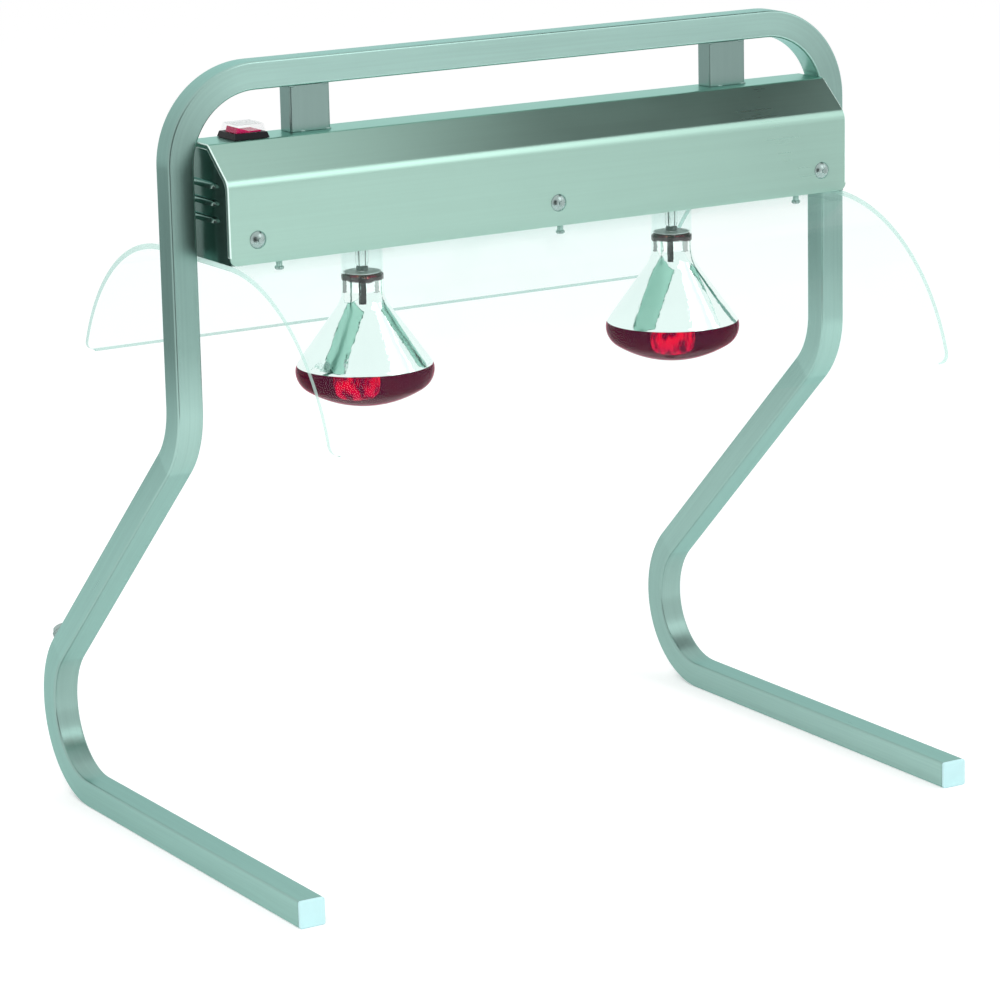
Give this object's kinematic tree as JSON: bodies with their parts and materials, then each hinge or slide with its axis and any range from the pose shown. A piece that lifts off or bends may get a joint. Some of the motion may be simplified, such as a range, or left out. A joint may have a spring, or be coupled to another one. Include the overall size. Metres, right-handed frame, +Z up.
{
  "type": "food heat lamp",
  "caption": "Countertop food warmer: bent square-tube stand, louvred steel housing, screw-in infrared reflector bulbs and a clear arched guard over the serving area.",
  "frame": {"origin": "floor point under the middle of the whole lamp", "axes": "+X along the top bar, -Y towards the front ends of the feet, +Z up"},
  "size_m": [0.715, 0.5246, 0.72],
  "materials": {
    "brushed_steel": "brushed stainless steel with a fine grain",
    "bright_steel": "bright nickel or zinc plating",
    "clear_sheet": "clear polished sheet with greenish edges",
    "clear_glass": "clear glass",
    "mica": "thin translucent mineral sheet",
    "foot_cap": "pale moulded plastic",
    "ceramic": "glazed ceramic",
    "brass": "plain brass",
    "ruby_glass": "ruby glass face, mirrored cone inside",
    "filament": "glowing tungsten coil",
    "black_plastic": "black moulded plastic",
    "red_rocker": "translucent red plastic",
    "lead_brown": "brown heat-resistant insulation",
    "lead_blue": "blue heat-resistant insulation"
  },
  "bodies": {
    "lamp": {"stand_tube": "brushed_steel", "housing_shell": "brushed_steel", "lamp_tray": "brushed_steel", "guard": "clear_sheet", "foot_cap_left": "foot_cap", "post_left": "brushed_steel", "end_plate_left": "brushed_steel", "holder_bracket_left": "bright_steel", "holder_body_left": "ceramic", "holder_sleeve_left": "brass", "holder_contact_left": "brass", "foot_cap_right": "foot_cap", "post_right": "brushed_steel", "end_plate_right": "brushed_steel", "holder_bracket_right": "bright_steel", "holder_body_right": "ceramic", "holder_sleeve_right": "brass", "holder_contact_right": "brass", "front_screw_left": "bright_steel", "rear_screw_left": "bright_steel", "front_screw_middle": "bright_steel", "rear_screw_middle": "bright_steel", "front_screw_right": "bright_steel", "rear_screw_right": "bright_steel", "guard_screw_front_left": "bright_steel", "guard_screw_front_middle": "bright_steel", "guard_screw_front_right": "bright_steel", "guard_screw_rear_left": "bright_steel", "guard_screw_rear_middle": "bright_steel", "guard_screw_rear_right": "bright_steel", "switch_body": "black_plastic", "switch_cover": "clear_sheet", "terminal_block": "ceramic", "lead_left_live": "lead_brown", "lead_left_neutral": "lead_blue", "lead_right_live": "lead_brown", "lead_right_neutral": "lead_blue", "lead_switch_live": "lead_brown", "lead_switch_neutral": "lead_blue", "cable_gland": "bright_steel", "gland_nut": "bright_steel"},
    "rocker": {"switch_rocker": "red_rocker"},
    "bulb_base_left": {"bulb_cap_left": "bright_steel"},
    "bulb_left": {"bulb_glass_left": "ruby_glass", "bulb_stem_left": "clear_glass", "bulb_shield_left": "mica", "bulb_filament_left": "filament"},
    "bulb_base_right": {"bulb_cap_right": "bright_steel"},
    "bulb_right": {"bulb_glass_right": "ruby_glass", "bulb_stem_right": "clear_glass", "bulb_shield_right": "mica", "bulb_filament_right": "filament"}
  },
  "joints": [
    {"name": "rocker_tilt", "type": "hinge", "parent": "lamp", "child": "rocker", "pos_m": [-0.28, -0.04222, 0.6573], "axis": [0, 1, 0], "range_deg": [-18, 0]},
    {"name": "bulb_left_out", "type": "slide", "parent": "lamp", "child": "bulb_base_left", "axis": [0, 0, -1], "range_m": [0, 0.0218]},
    {"name": "bulb_left_turn", "type": "hinge", "parent": "bulb_base_left", "child": "bulb_left", "pos_m": [-0.1655, -0.04222, 0.5], "axis": [0, 0, -1], "range_deg": [0, 2160]},
    {"name": "bulb_right_out", "type": "slide", "parent": "lamp", "child": "bulb_base_right", "axis": [0, 0, -1], "range_m": [0, 0.0218]},
    {"name": "bulb_right_turn", "type": "hinge", "parent": "bulb_base_right", "child": "bulb_right", "pos_m": [0.1655, -0.04222, 0.5], "axis": [0, 0, -1], "range_deg": [0, 2160]}
  ],
  "couplings": [
    {"joint": "bulb_left_out", "follows": "bulb_left_turn", "m_per_rad": 0.00057757},
    {"joint": "bulb_right_out", "follows": "bulb_right_turn", "m_per_rad": 0.00057757}
  ]
}
